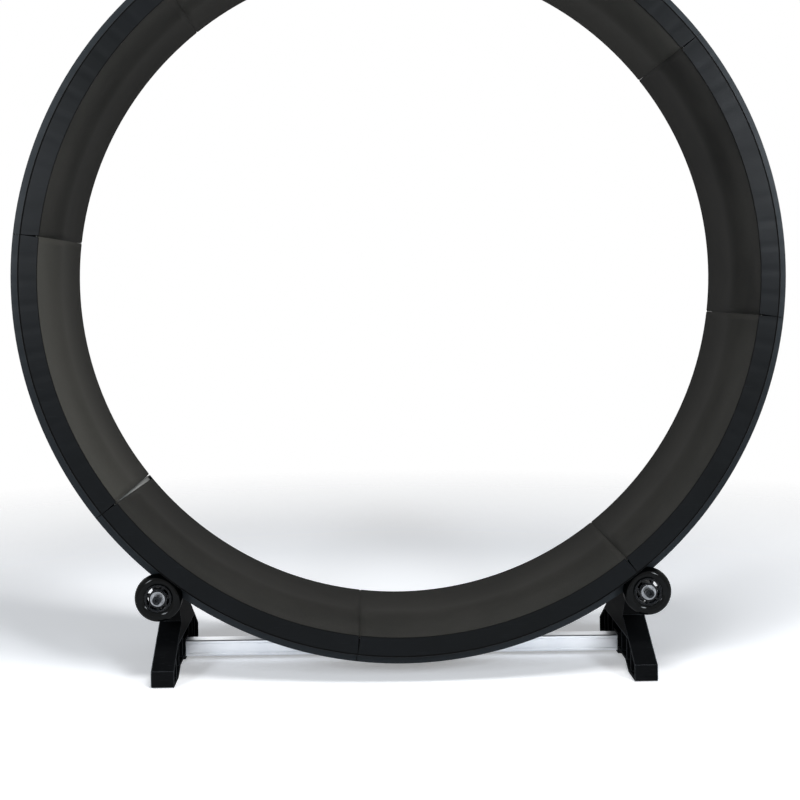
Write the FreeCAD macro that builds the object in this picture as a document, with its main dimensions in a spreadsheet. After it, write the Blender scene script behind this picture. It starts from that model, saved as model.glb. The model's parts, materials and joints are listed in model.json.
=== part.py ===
"""Cat exercise wheel: an eight-segment running wheel on four skate rollers and a two-footed base.

Frame: X to the right, Y to the back, Z up, origin on the floor under the middle of the wheel.
The wheel turns about a line parallel to Y. All sizes are millimetres.
"""
import FreeCAD, Part
import math
import os
import re
import Sketcher

# Driving sizes. Every one is a cell of the sheet and can be changed by itself.
SIZES = {
    # wheel
    "wheel_width": 305,
    "flange_radius": 590.5,
    "flange_height": 20,
    "rim_depth": 30,
    "mat_thickness": 4.5,
    "mat_edge_lip": 3,
    "rim_wall": 4,
    "rim_edge_chamfer": 3,
    "flange_inset": 42,
    "flange_wall": 4,
    "rib_height": 13,
    "rib_wall": 4,
    "rib_count": 5,
    "rib_pitch_angle": 8.4,
    "segment_count": 8,
    "segment_gap": 1.2,
    "first_seam_turn": 7,
    # plug that joins one segment to the next
    "plug_reach_angle": 3,
    "plug_root_angle": 1.5,
    "plug_wall": 3,
    "plug_clearance": 0.35,
    # rollers
    "roller_angle": 37.5,
    "roller_z": 131,
    "roller_inset": 28,
    "roller_radius": 36,
    "roller_width": 24,
    "roller_gap": 0.3,
    "tread_half_flat": 3,
    "shoulder_half_width": 9.5,
    "shoulder_radius": 33.4,
    "shoulder_height": 4,
    "tyre_bore_radius": 20.5,
    "tyre_bead_height": 4,
    "core_half_width": 9.5,
    "core_rim_inner_radius": 18.3,
    "core_web_half_width": 7,
    "core_hub_radius": 13.2,
    "core_stop_radius": 9.6,
    "spoke_count": 7,
    "spoke_width": 2.6,
    "spoke_root": 0.4,
    # ball bearings, two to a roller
    "bearing_radius": 11,
    "bearing_width": 7,
    "bearing_race_radius": 9.4,
    "bearing_shield_radius": 6.5,
    "bearing_shield_inset": 0.5,
    "bearing_inner_radius": 6.2,
    # axle bolt
    "bolt_radius": 3.97,
    "bolt_hole_clearance": 0.08,
    "bolt_head_radius": 6.5,
    "bolt_head_height": 8,
    "bolt_socket_flats": 6,
    "bolt_socket_depth": 4,
    "bolt_tip": 3,
    "washer_radius": 6.2,
    "washer_thickness": 1.2,
    "nut_flats": 13,
    "nut_height": 8,
    "nut_clearance": 0.4,
    # stands
    "axle_setback": 24.8,
    "axle_reach": 67.5,
    "stand_thickness": 35.2,
    "stand_inset": 5,
    "stand_wall": 4,
    "stand_base_z": 1.2,
    "stand_edge_round": 2.5,
    "foot_height": 25.3,
    "foot_length": 49,
    "arch_height": 14,
    "arch_ramp": 26,
    "ledge_height": 78.2,
    "saddle_half_width": 17,
    "saddle_top_half_width": 8,
    "saddle_rise": 16,
    "boss_radius": 13,
    "boss_draft_angle": 2,
    "boss_gap": 1.5,
    "stand_rib_wall": 3,
    "stand_rib_inset": 1.5,
    "foot_rib_inset": 39.5,
    "slope_rib_inset": 69.5,
    "saddle_rib_inset": 19,
    # base bar
    "bar_side": 25,
    "bar_wall": 2,
    "bar_corner": 1.5,
    "bar_bottom_z": 10.5,
    "bar_insertion": 26,
    "bar_groove_width": 1.2,
    "bar_groove_depth": 0.6,
    "bar_groove_offset": 7.5,
    "socket_wall": 3.5,
    "socket_clearance": 0.3,
    # bar screws
    "screw_radius": 2.1,
    "screw_head_radius": 4.2,
    "screw_head_height": 2.4,
    "screw_length": 9,
    "screw_inset": 14,
    "screw_hole_clearance": 0.1,
    # rubber feet
    "pad_thickness": 2.6,
    "pad_margin": 4,
    "pad_clearance": 0.2,
    "pad_corner": 5,
}

# Lengths and angles that several pieces share, worked out from the driving sizes.
TRACK_RADIUS = "(flange_radius - flange_height)"
MAT_FACE_RADIUS = f"({TRACK_RADIUS} - rim_depth)"
PANEL_RADIUS = f"({MAT_FACE_RADIUS} + mat_thickness)"
PANEL_OUTER = f"({PANEL_RADIUS} + rim_wall)"
TRACK_INNER = f"({TRACK_RADIUS} - rim_wall)"
SEGMENT_ANGLE = "(360 / segment_count)"
GAP_ANGLE = f"(segment_gap / {TRACK_RADIUS} * 180 / pi)"
HALF_WIDTH = "(wheel_width / 2)"
FLANGE_Y = f"({HALF_WIDTH} - flange_inset)"
ROLLER_TO_AXIS = f"({TRACK_RADIUS} + roller_radius + roller_gap)"
AXIS_Z = f"(roller_z + {ROLLER_TO_AXIS} * cos(roller_angle))"
ROLLER_X = f"({ROLLER_TO_AXIS} * sin(roller_angle))"
ROLLER_Y = f"({HALF_WIDTH} - roller_inset)"
STOP_HALF = "(roller_width / 2 - bearing_width)"
STAND_INNER_X = f"({ROLLER_X} - axle_setback)"
STAND_OUTER_X = f"({STAND_INNER_X} + stand_thickness)"
STAND_HALF = f"({HALF_WIDTH} - stand_inset)"
LEDGE_HALF = f"({ROLLER_Y} - axle_reach)"
SLOPE = f"((ledge_height - foot_height) / ({STAND_HALF} - {LEDGE_HALF}))"
BOSS_FACE = "(roller_width / 2 + boss_gap)"
NUT_SEAT = "(axle_reach + stand_wall)"
FOOT_MIDDLE_Y = f"({STAND_HALF} - foot_length / 2)"
BAR_TOP_Z = "(bar_bottom_z + bar_side)"

# Two coordinates closer than this are the same.
TOUCHING = 0.01

CORNERS = {
    "front_left": (-1, -1),
    "front_right": (1, -1),
    "rear_left": (-1, 1),
    "rear_right": (1, 1),
}

doc = FreeCAD.newDocument("cat_exercise_wheel")
sheet = doc.addObject("Spreadsheet::Sheet", "Sizes")
for row, (name, number) in enumerate(SIZES.items(), start=1):
    sheet.set("A%d" % row, name.replace("_", " "))
    sheet.set("B%d" % row, str(number))
    sheet.setAlias("B%d" % row, name)
doc.recompute()


def bound(text):
    """Write the sheet's name before each size in an expression."""
    return re.sub(r"[a-z]\w+", lambda word: "Sizes." + word[0] if word[0] in SIZES else word[0], text)


def new_body(label):
    body = doc.addObject("PartDesign::Body", label)
    body.Label = label
    return body


def origin_feature(body, role):
    return [feature for feature in body.Origin.OriginFeatures if feature.Role == role][0]


def drawing_on(body, role, lift="0", tilt="0", hinge=(0, 0, 1)):
    """A sketch on an origin plane, lifted along the plane's normal and turned about a line in it."""
    drawing = body.newObject("Sketcher::SketchObject", body.Name + "_drawing")
    drawing.AttachmentSupport = [(origin_feature(body, role), "")]
    drawing.MapMode = "FlatFace"
    turn = FreeCAD.Rotation(FreeCAD.Vector(*hinge), 1)
    drawing.AttachmentOffset = FreeCAD.Placement(FreeCAD.Vector(), turn)
    drawing.setExpression("AttachmentOffset.Rotation.Angle", bound(tilt))
    drawing.setExpression("AttachmentOffset.Base.z", bound(lift))
    return drawing


def fix_point(drawing, edge, point, across, up):
    """Bind one point of a sketch edge to its distances from the sketch's origin."""
    for kind, text in (("DistanceX", across), ("DistanceY", up)):
        number = drawing.addConstraint(Sketcher.Constraint(kind, -1, 1, edge, point, 1.0))
        drawing.setExpression("Constraints[%d]" % number, bound(text))


def outline(drawing, corners):
    """A closed outline of straight edges through corners given as pairs of expressions."""
    count = len(corners)
    first = drawing.GeometryCount
    ring = [
        FreeCAD.Vector(math.cos(2 * math.pi * i / count), math.sin(2 * math.pi * i / count), 0)
        for i in range(count)
    ]
    edges = [Part.LineSegment(ring[i], ring[(i + 1) % count]) for i in range(count)]
    drawing.addGeometry(edges, False)
    joints = [
        Sketcher.Constraint("Coincident", first + i, 2, first + (i + 1) % count, 1)
        for i in range(count)
    ]
    drawing.addConstraint(joints)
    for i, (across, up) in enumerate(corners):
        fix_point(drawing, first + i, 1, across, up)


def rectangle(drawing, left, bottom, right, top):
    outline(drawing, [(left, bottom), (right, bottom), (right, top), (left, top)])


def circle(drawing, across, up, radius):
    edge = drawing.addGeometry(Part.Circle(FreeCAD.Vector(), FreeCAD.Vector(0, 0, 1), 1), False)
    fix_point(drawing, edge, 3, across, up)
    number = drawing.addConstraint(Sketcher.Constraint("Radius", edge, 1.0))
    drawing.setExpression("Constraints[%d]" % number, bound(radius))


def hexagon(drawing, flats):
    """A regular hexagon about the sketch's origin, its width across flats given."""
    reach = "(%s / sqrt(3))" % flats
    half = "(%s / 2)" % flats
    outline(drawing, [
        (reach, "0"),
        (reach + " / 2", half),
        ("-" + reach + " / 2", half),
        ("-" + reach, "0"),
        ("-" + reach + " / 2", "-" + half),
        (reach + " / 2", "-" + half),
    ])


def pad(body, drawing, length, symmetric=False, backwards=False, draft=None):
    feature = body.newObject("PartDesign::Pad", body.Name + "_pad")
    feature.Profile = drawing
    feature.SideType = "Symmetric" if symmetric else "One side"
    feature.Reversed = backwards
    feature.setExpression("Length", bound(length))
    if draft:
        feature.setExpression("TaperAngle", bound(draft))
    return feature


def pocket(body, drawing, length, symmetric=False, backwards=False):
    feature = body.newObject("PartDesign::Pocket", body.Name + "_pocket")
    feature.Profile = drawing
    feature.SideType = "Symmetric" if symmetric else "One side"
    feature.Reversed = backwards
    feature.setExpression("Length", bound(length))
    return feature


def revolve(body, drawing, angle="360", symmetric=False):
    """Turn a section about the sketch's horizontal axis, which is the piece's own Y line."""
    feature = body.newObject("PartDesign::Revolution", body.Name + "_turned")
    feature.Profile = drawing
    feature.ReferenceAxis = (drawing, ["H_Axis"])
    feature.Midplane = symmetric
    feature.setExpression("Angle", bound(angle))
    return feature


def pattern_about_y(body, feature, span, count):
    copies = body.newObject("PartDesign::PolarPattern", body.Name + "_copies")
    copies.Originals = [feature]
    copies.Axis = (origin_feature(body, "Y_Axis"), [""])
    copies.setExpression("Angle", bound(span))
    copies.setExpression("Occurrences", bound(count))
    body.Tip = copies
    return copies


def round_edges(body, feature, radius, chosen):
    """Fillet the edges of a feature that the test picks out."""
    doc.recompute()
    names = [
        "Edge%d" % (number + 1)
        for number, edge in enumerate(feature.Shape.Edges)
        if chosen(edge)
    ]
    fillet = body.newObject("PartDesign::Fillet", body.Name + "_rounds")
    fillet.Base = (feature, names)
    fillet.setExpression("Radius", bound(radius))
    return fillet


def size(name):
    """The number in a size's cell."""
    return float(sheet.get(name))


def place_at_roller(body, corner):
    """Move a roller piece, made about its own Y line with its outer side at -Y, to its axle."""
    side, end = CORNERS[corner]
    half_turn = FreeCAD.Rotation(FreeCAD.Vector(0, 0, 1), 0 if end < 0 else 180)
    body.Placement = FreeCAD.Placement(FreeCAD.Vector(), half_turn)
    body.setExpression("Placement.Base.x", bound("%d * %s" % (side, ROLLER_X)))
    body.setExpression("Placement.Base.y", bound("%d * %s" % (end, ROLLER_Y)))
    body.setExpression("Placement.Base.z", bound("roller_z"))


def place_on_wheel(body, number):
    """Turn a wheel piece, made about the Y line at the top, to its place round the wheel."""
    body.Placement = FreeCAD.Placement(FreeCAD.Vector(), FreeCAD.Rotation(FreeCAD.Vector(0, 1, 0), 1))
    turn = "first_seam_turn + (%d - 0.5) * %s" % (number, SEGMENT_ANGLE)
    body.setExpression("Placement.Rotation.Angle", bound(turn))
    body.setExpression("Placement.Base.z", bound(AXIS_Z))


def group(label, members):
    """One node of several separate identical pieces."""
    node = doc.addObject("Part::Compound", label)
    node.Label = label
    node.Links = members
    return node


def rim_section(drawing):
    """Section of a wheel segment: panel, two box rims with roller tracks, two guide flanges."""
    flange_end = "(%s - flange_wall)" % FLANGE_Y
    half = [
        (HALF_WIDTH, MAT_FACE_RADIUS),
        (HALF_WIDTH, TRACK_RADIUS + " - rim_edge_chamfer"),
        (HALF_WIDTH + " - rim_edge_chamfer", TRACK_RADIUS),
        (FLANGE_Y, TRACK_RADIUS),
        (FLANGE_Y, "flange_radius"),
        (flange_end, "flange_radius"),
        (flange_end, PANEL_OUTER),
        ("rib_wall / 2", PANEL_OUTER),
        ("rib_wall / 2", PANEL_OUTER + " + rib_height"),
    ]
    lip = [
        (HALF_WIDTH + " - mat_edge_lip", PANEL_RADIUS),
        (HALF_WIDTH + " - mat_edge_lip", MAT_FACE_RADIUS),
    ]
    mirrored = [("-(%s)" % across, up) for across, up in lip + half]
    outline(drawing, lip + half + mirrored[::-1])
    for sign in ("", "-"):
        outer = "%s(%s - rim_wall)" % (sign, HALF_WIDTH)
        inner = "%s%s" % (sign, FLANGE_Y)
        outline(drawing, [
            (outer, PANEL_OUTER), (outer, TRACK_INNER), (inner, TRACK_INNER), (inner, PANEL_OUTER),
        ])


def plug_section(drawing, slack):
    """Section of the two hollow plugs that slide into the next segment's box rims."""
    for sign in ("", "-"):
        outer = HALF_WIDTH + " - rim_wall - %s" % slack
        inner = FLANGE_Y + " + %s" % slack
        low = PANEL_OUTER + " + %s" % slack
        high = TRACK_INNER + " - %s" % slack
        rectangle(drawing, "%s(%s)" % (sign, inner), low, "%s(%s)" % (sign, outer), high)
        rectangle(
            drawing,
            "%s(%s + plug_wall)" % (sign, inner), low + " + plug_wall",
            "%s(%s - plug_wall)" % (sign, outer), high + " - plug_wall",
        )


def rim_segment(number):
    body = new_body("rim_segment_%d" % number)
    section = drawing_on(body, "YZ_Plane")
    rim_section(section)
    revolve(body, section, SEGMENT_ANGLE + " - " + GAP_ANGLE, symmetric=True)
    end_angle = "(%s / 2 - %s / 2)" % (SEGMENT_ANGLE, GAP_ANGLE)
    rib_span = "((rib_count - 1) * rib_pitch_angle)"
    rib = drawing_on(body, "XZ_Plane", tilt=rib_span + " / 2")
    rectangle(
        rib,
        "-rib_wall / 2", PANEL_OUTER + " - rim_wall / 4",
        "rib_wall / 2", PANEL_OUTER + " + rib_height",
    )
    between_flanges = "2 * (%s - flange_wall / 2)" % FLANGE_Y
    first_rib = pad(body, rib, between_flanges, symmetric=True)
    pattern_about_y(body, first_rib, rib_span, "rib_count")
    root = drawing_on(body, "YZ_Plane", tilt=end_angle + " - plug_root_angle", hinge=(1, 0, 0))
    plug_section(root, "0")
    revolve(body, root, "plug_root_angle")
    plug = drawing_on(body, "YZ_Plane", tilt=end_angle + " - plug_root_angle / 2", hinge=(1, 0, 0))
    plug_section(plug, "plug_clearance")
    body.Tip = revolve(body, plug, "plug_root_angle / 2 + plug_reach_angle")
    place_on_wheel(body, number)
    return body


def running_mat(number):
    body = new_body("running_mat_%d" % number)
    section = drawing_on(body, "YZ_Plane")
    reach = HALF_WIDTH + " - mat_edge_lip"
    rectangle(section, "-(%s)" % reach, MAT_FACE_RADIUS, reach, PANEL_RADIUS)
    revolve(body, section, SEGMENT_ANGLE + " - " + GAP_ANGLE, symmetric=True)
    place_on_wheel(body, number)
    return body


def stand_outline(drawing):
    """Side view of a stand: two feet, a low arch between them and slopes up to the saddle."""
    half = [
        (LEDGE_HALF, "ledge_height"),
        (STAND_HALF, "foot_height"),
        (STAND_HALF, "stand_base_z"),
        (STAND_HALF + " - foot_length", "stand_base_z"),
        (STAND_HALF + " - foot_length - arch_ramp", "arch_height"),
    ]
    mirrored = [("-(%s)" % across, up) for across, up in half]
    outline(drawing, half + mirrored[::-1])


def saddle_outline(drawing):
    """End view of the saddle that stands on the ledge and leans out over the axles."""
    outline(drawing, [
        (STAND_INNER_X, "ledge_height - stand_wall"),
        (STAND_INNER_X, "ledge_height"),
        (ROLLER_X + " - saddle_half_width", "roller_z"),
        (ROLLER_X + " - saddle_top_half_width", "roller_z + saddle_rise"),
        (ROLLER_X + " + saddle_top_half_width / 2", "roller_z + saddle_rise"),
        (STAND_OUTER_X, "roller_z + saddle_rise / 2"),
        (STAND_OUTER_X, "ledge_height - stand_wall"),
    ])


def stand_ribs(body):
    """Upright ribs inside the shell, each ending under the slope or the ledge."""
    places = [
        f"({STAND_HALF} - foot_rib_inset)",
        f"({STAND_HALF} - slope_rib_inset)",
        f"({LEDGE_HALF} - saddle_rib_inset)",
    ]
    for place in places:
        roof = "min(ledge_height; foot_height + %s * (%s - %s - stand_rib_wall)) - stand_wall / 2" % (
            SLOPE, STAND_HALF, place)
        floor = "max(stand_base_z; min(arch_height; stand_base_z + (arch_height - stand_base_z) * "
        floor += "(%s - foot_length - %s) / arch_ramp)) + stand_wall / 2" % (STAND_HALF, place)
        for sign in ("", "-"):
            rib = drawing_on(body, "YZ_Plane", lift=STAND_INNER_X + " + stand_rib_inset")
            rectangle(
                rib,
                "%s%s - stand_rib_wall / 2" % (sign, place), floor,
                "%s%s + stand_rib_wall / 2" % (sign, place), roof,
            )
            pad(body, rib, "stand_thickness - stand_rib_inset - stand_wall / 2")


def bar_socket(body):
    """Walled square socket for the end of the base bar, with its floor just under the bar."""
    block = drawing_on(body, "YZ_Plane", lift=STAND_INNER_X)
    reach = "(bar_side / 2 + socket_clearance + socket_wall)"
    rectangle(
        block,
        "-" + reach, "bar_bottom_z - socket_clearance - socket_wall",
        reach, BAR_TOP_Z + " + socket_clearance + socket_wall",
    )
    pad(body, block, "stand_thickness - stand_wall / 2")
    mouth = drawing_on(body, "YZ_Plane", lift=STAND_INNER_X)
    opening = "(bar_side / 2 + socket_clearance)"
    rectangle(
        mouth,
        "-" + opening, "bar_bottom_z - socket_clearance",
        opening, BAR_TOP_Z + " + socket_clearance",
    )
    pocket(body, mouth, "bar_insertion + socket_clearance", backwards=True)
    screw = drawing_on(body, "XY_Plane", lift="bar_bottom_z - socket_clearance - socket_wall")
    circle(screw, STAND_INNER_X + " + screw_inset", "0", "screw_radius + screw_hole_clearance")
    pocket(body, screw, "socket_wall + socket_clearance", backwards=True)


def axle_bosses(body):
    """Drafted tubes that reach out from the saddle's end walls to the rollers."""
    for sign in (1, -1):
        boss = drawing_on(body, "XZ_Plane", lift="%d * (%s - %s)" % (sign, ROLLER_Y, BOSS_FACE))
        circle(boss, ROLLER_X, "roller_z", "boss_radius")
        reach = "%s - %s - %s + stand_wall / 2" % (ROLLER_Y, BOSS_FACE, LEDGE_HALF)
        pad(body, boss, reach, backwards=sign > 0, draft="boss_draft_angle")
    channel = drawing_on(body, "XZ_Plane")
    circle(channel, ROLLER_X, "roller_z", "nut_flats / sqrt(3) + nut_clearance")
    pocket(body, channel, "2 * (%s - stand_wall)" % LEDGE_HALF, symmetric=True)
    bore = drawing_on(body, "XZ_Plane")
    circle(bore, ROLLER_X, "roller_z", "bolt_radius + bolt_hole_clearance")
    pocket(body, bore, "2 * " + ROLLER_Y, symmetric=True)


def pad_recesses(body):
    for sign in ("", "-"):
        recess = drawing_on(body, "XY_Plane", lift="stand_base_z")
        middle = "%s%s" % (sign, FOOT_MIDDLE_Y)
        reach = "(foot_length / 2 - pad_margin + pad_clearance)"
        rectangle(
            recess,
            STAND_INNER_X + " + pad_margin - pad_clearance", middle + " - " + reach,
            STAND_OUTER_X + " - pad_margin + pad_clearance", middle + " + " + reach,
        )
        last = pocket(body, recess, "pad_thickness - stand_base_z", backwards=True)
    return last


def stand(label, side):
    """One moulded stand: a shell open towards the wheel, with ribs, bar socket and axle bosses."""
    body = new_body(label)
    profile = drawing_on(body, "YZ_Plane", lift=STAND_INNER_X)
    stand_outline(profile)
    pad(body, profile, "stand_thickness")
    saddle = drawing_on(body, "XZ_Plane")
    saddle_outline(saddle)
    block = pad(body, saddle, "2 * " + LEDGE_HALF, symmetric=True)
    doc.recompute()
    open_side = [
        "Face%d" % (number + 1)
        for number, face in enumerate(block.Shape.Faces)
        if face.BoundBox.XMax < block.Shape.BoundBox.XMin + TOUCHING
    ]
    shell = body.newObject("PartDesign::Thickness", body.Name + "_shell")
    shell.Base = (block, open_side)
    shell.Reversed = True
    shell.Join = "Intersection"
    shell.Intersection = True
    shell.setExpression("Value", bound("stand_wall"))
    round_edges(
        body, shell, "stand_edge_round",
        lambda edge: edge.BoundBox.XMin > shell.Shape.BoundBox.XMax - TOUCHING,
    )
    stand_ribs(body)
    bar_socket(body)
    axle_bosses(body)
    body.Tip = pad_recesses(body)
    half_turn = FreeCAD.Rotation(FreeCAD.Vector(0, 0, 1), 0 if side > 0 else 180)
    body.Placement = FreeCAD.Placement(FreeCAD.Vector(), half_turn)
    return body


def cross_bar():
    """Extruded square tube with two shallow grooves along its front and back faces."""
    body = new_body("cross_bar")
    section = drawing_on(body, "YZ_Plane")
    half = "(bar_side / 2)"
    edge = "(bar_side / 2 - bar_corner)"
    middle = "(bar_bottom_z + bar_side / 2)"
    right = [(edge, "%s - %s" % (middle, half)), (half, "%s - %s" % (middle, edge))]
    for sign in ("-", "+"):
        low, high = "- bar_groove_width / 2", "+ bar_groove_width / 2"
        at = "%s %s bar_groove_offset" % (middle, sign)
        right += [
            (half, "%s %s" % (at, low)),
            (half + " - bar_groove_depth", at),
            (half, "%s %s" % (at, high)),
        ]
    right += [(half, "%s + %s" % (middle, edge)), (edge, "%s + %s" % (middle, half))]
    left = [("-(%s)" % across, up) for across, up in right]
    outline(section, right + left[::-1])
    inner = "(bar_side / 2 - bar_wall)"
    rectangle(section, "-" + inner, middle + " - " + inner, inner, middle + " + " + inner)
    pad(body, section, "2 * (%s + bar_insertion)" % STAND_INNER_X, symmetric=True)
    holes = drawing_on(body, "XY_Plane", lift="bar_bottom_z")
    for sign in ("", "-"):
        at = "%s(%s + screw_inset)" % (sign, STAND_INNER_X)
        circle(holes, at, "0", "screw_radius + screw_hole_clearance")
    body.Tip = pocket(body, holes, "bar_wall", backwards=True)
    return body


def bar_screw(name, side):
    """Pan-head screw up through the socket's floor into the bar."""
    body = new_body("bar_screw_" + name)
    seat = "(bar_bottom_z - socket_clearance - socket_wall)"
    at = "%d * (%s + screw_inset)" % (side, STAND_INNER_X)
    head = drawing_on(body, "XY_Plane", lift=seat)
    circle(head, at, "0", "screw_head_radius")
    pad(body, head, "screw_head_height", backwards=True)
    shank = drawing_on(body, "XY_Plane", lift=seat)
    circle(shank, at, "0", "screw_radius")
    body.Tip = pad(body, shank, "screw_length")
    return body


def foot_pad(corner):
    """Rubber pad let into the underside of a foot."""
    side, end = CORNERS[corner]
    body = new_body("foot_pad_" + corner)
    face = drawing_on(body, "XY_Plane")
    middle_x = "%d * (%s + stand_thickness / 2)" % (side, STAND_INNER_X)
    middle_y = "%d * %s" % (end, FOOT_MIDDLE_Y)
    half_x = "(stand_thickness / 2 - pad_margin)"
    half_y = "(foot_length / 2 - pad_margin)"
    rectangle(
        face,
        middle_x + " - " + half_x, middle_y + " - " + half_y,
        middle_x + " + " + half_x, middle_y + " + " + half_y,
    )
    slab = pad(body, face, "pad_thickness")
    body.Tip = round_edges(
        body, slab, "pad_corner",
        lambda edge: edge.BoundBox.ZLength > size("pad_thickness") / 2,
    )
    return body


def roller_tyre(corner):
    """Cast tyre with a narrow flat tread and bevelled shoulders."""
    body = new_body("roller_tyre_" + corner)
    section = drawing_on(body, "YZ_Plane")
    half = [
        ("core_half_width", "tyre_bore_radius"),
        ("roller_width / 2", "tyre_bore_radius + tyre_bead_height"),
        ("roller_width / 2", "shoulder_radius - shoulder_height"),
        ("shoulder_half_width", "shoulder_radius"),
        ("tread_half_flat", "roller_radius"),
    ]
    mirrored = [("-(%s)" % across, up) for across, up in half]
    outline(section, half + mirrored[::-1])
    revolve(body, section)
    place_at_roller(body, corner)
    return body


def roller_core(corner):
    """Hub with two bearing seats, a rim that the tyre is cast on and spokes between them."""
    body = new_body("roller_core_" + corner)
    section = drawing_on(body, "YZ_Plane")
    half = [
        (STOP_HALF, "core_stop_radius"),
        (STOP_HALF, "bearing_radius"),
        ("roller_width / 2", "bearing_radius"),
        ("roller_width / 2", "core_hub_radius"),
        ("core_web_half_width", "core_hub_radius"),
        ("core_web_half_width", "core_rim_inner_radius"),
        ("core_half_width", "core_rim_inner_radius"),
        ("core_half_width", "tyre_bore_radius"),
    ]
    mirrored = [("-(%s)" % across, up) for across, up in half]
    outline(section, half + mirrored[::-1])
    revolve(body, section)
    window = drawing_on(body, "XZ_Plane")
    low, high = "(core_hub_radius + spoke_root)", "(core_rim_inner_radius - spoke_root)"
    corner_turn = "(180 deg / spoke_count - asin(spoke_width / 2 / core_rim_inner_radius))"
    low_half = "(%s * sin(180 / spoke_count) - spoke_width / 2)" % low
    outline(window, [
        ("-" + low_half, low),
        (low_half, low),
        ("%s * sin(%s)" % (high, corner_turn), "%s * cos(%s)" % (high, corner_turn)),
        ("0", high),
        ("-%s * sin(%s)" % (high, corner_turn), "%s * cos(%s)" % (high, corner_turn)),
    ])
    cut = pocket(body, window, "2 * core_half_width", symmetric=True)
    pattern_about_y(body, cut, "360", "spoke_count")
    place_at_roller(body, corner)
    return body


def bearing_ring(label, corner, corners):
    """One ring of a ball bearing, turned from its half section."""
    body = new_body(label)
    section = drawing_on(body, "YZ_Plane")
    outline(section, corners)
    revolve(body, section)
    place_at_roller(body, corner)
    return body


def bearing_rings(corner, sign):
    """Outer ring with its shields, and inner ring, of one bearing."""
    near, far = "%s%s" % (sign, STOP_HALF), "%s(roller_width / 2)" % sign
    shield_near = "%s(%s + bearing_shield_inset)" % (sign, STOP_HALF)
    shield_far = "%s(roller_width / 2 - bearing_shield_inset)" % sign
    outer = [
        (near, "bearing_radius"),
        (near, "bearing_race_radius"),
        (shield_near, "bearing_race_radius"),
        (shield_near, "bearing_shield_radius"),
        (shield_far, "bearing_shield_radius"),
        (shield_far, "bearing_race_radius"),
        (far, "bearing_race_radius"),
        (far, "bearing_radius"),
    ]
    inner = [
        (near, "bearing_inner_radius"),
        (near, "bolt_radius + bolt_hole_clearance / 2"),
        (far, "bolt_radius + bolt_hole_clearance / 2"),
        (far, "bearing_inner_radius"),
    ]
    end = "outer" if sign else "inner"
    return (
        bearing_ring("bearing_%s_race_%s" % (end, corner), corner, outer),
        bearing_ring("bearing_%s_cone_%s" % (end, corner), corner, inner),
    )


def axle_ring(label, corner, near, far, radius):
    """A plain ring on the axle bolt: a washer, a spacer or a collar."""
    body = new_body(label)
    section = drawing_on(body, "YZ_Plane")
    rectangle(section, near, "bolt_radius + bolt_hole_clearance", far, radius)
    revolve(body, section)
    place_at_roller(body, corner)
    return body


def axle_bolt(corner):
    """Cap screw with a hexagon socket, from outside the roller to the nut in the saddle."""
    body = new_body("axle_bolt_" + corner)
    section = drawing_on(body, "YZ_Plane")
    under_head = "-(roller_width / 2 + washer_thickness)"
    tip = "%s + nut_height + bolt_tip" % NUT_SEAT
    outline(section, [
        (under_head + " - bolt_head_height", "0"),
        (under_head + " - bolt_head_height", "bolt_head_radius"),
        (under_head, "bolt_head_radius"),
        (under_head, "bolt_radius"),
        (tip, "bolt_radius"),
        (tip, "0"),
    ])
    revolve(body, section)
    socket = drawing_on(body, "XZ_Plane", lift="roller_width / 2 + washer_thickness + bolt_head_height")
    hexagon(socket, "bolt_socket_flats")
    body.Tip = pocket(body, socket, "bolt_socket_depth")
    place_at_roller(body, corner)
    return body


def axle_nut(corner):
    body = new_body("axle_nut_" + corner)
    face = drawing_on(body, "XZ_Plane", lift="-" + NUT_SEAT)
    hexagon(face, "nut_flats")
    circle(face, "0", "0", "bolt_radius + bolt_hole_clearance / 2")
    body.Tip = pad(body, face, "nut_height", backwards=True)
    place_at_roller(body, corner)
    return body


def rollers():
    """The four rollers with their bearings, and what holds them to the stands."""
    nodes = []
    cones, bolts, nuts, washers, spacers = [], [], [], [], []
    for corner in CORNERS:
        nodes += [roller_tyre(corner), roller_core(corner)]
        outside, inside = bearing_rings(corner, "-"), bearing_rings(corner, "")
        nodes.append(group("bearing_races_" + corner, [outside[0], inside[0]]))
        cones += [outside[1], inside[1]]
        bolts.append(axle_bolt(corner))
        nuts.append(axle_nut(corner))
        washers.append(axle_ring(
            "head_washer_" + corner, corner,
            "-(roller_width / 2 + washer_thickness)", "-roller_width / 2", "washer_radius",
        ))
        spacers.append(axle_ring(
            "bearing_spacer_" + corner, corner, "-" + STOP_HALF, STOP_HALF, "bearing_inner_radius",
        ))
        spacers.append(axle_ring(
            "boss_spacer_" + corner, corner, "roller_width / 2", BOSS_FACE, "washer_radius",
        ))
    nodes += [
        group("bearing_cones", cones),
        group("axle_bolts", bolts),
        group("axle_nuts", nuts),
        group("axle_washers", washers),
        group("axle_spacers", spacers),
    ]
    return nodes


def check(nodes):
    """Stop if any object failed to build or any node's shape is empty or broken."""
    for item in doc.Objects:
        if "Invalid" in item.State or "Error" in item.State:
            raise RuntimeError("%s did not build: %s" % (item.Label, item.State))
    for node in nodes:
        if node.Shape.isNull() or not node.Shape.isValid():
            raise RuntimeError("%s has no valid shape" % node.Label)


def main():
    count = int(size("segment_count"))
    nodes = [rim_segment(number) for number in range(1, count + 1)]
    nodes += [running_mat(number) for number in range(1, count + 1)]
    nodes += [stand("left_stand", -1), stand("right_stand", 1), cross_bar()]
    nodes.append(group("bar_screws", [bar_screw("left", -1), bar_screw("right", 1)]))
    nodes += [foot_pad(corner) for corner in CORNERS]
    nodes += rollers()
    doc.recompute()
    check(nodes)
    os.makedirs("parts", exist_ok=True)
    for node in nodes:
        node.Shape.exportStep("parts/%s.step" % node.Label)
        print("%-28s solids %d  volume %.0f" % (node.Label, len(node.Shape.Solids), node.Shape.Volume))
    print("%d nodes" % len(nodes))


main()
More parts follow.
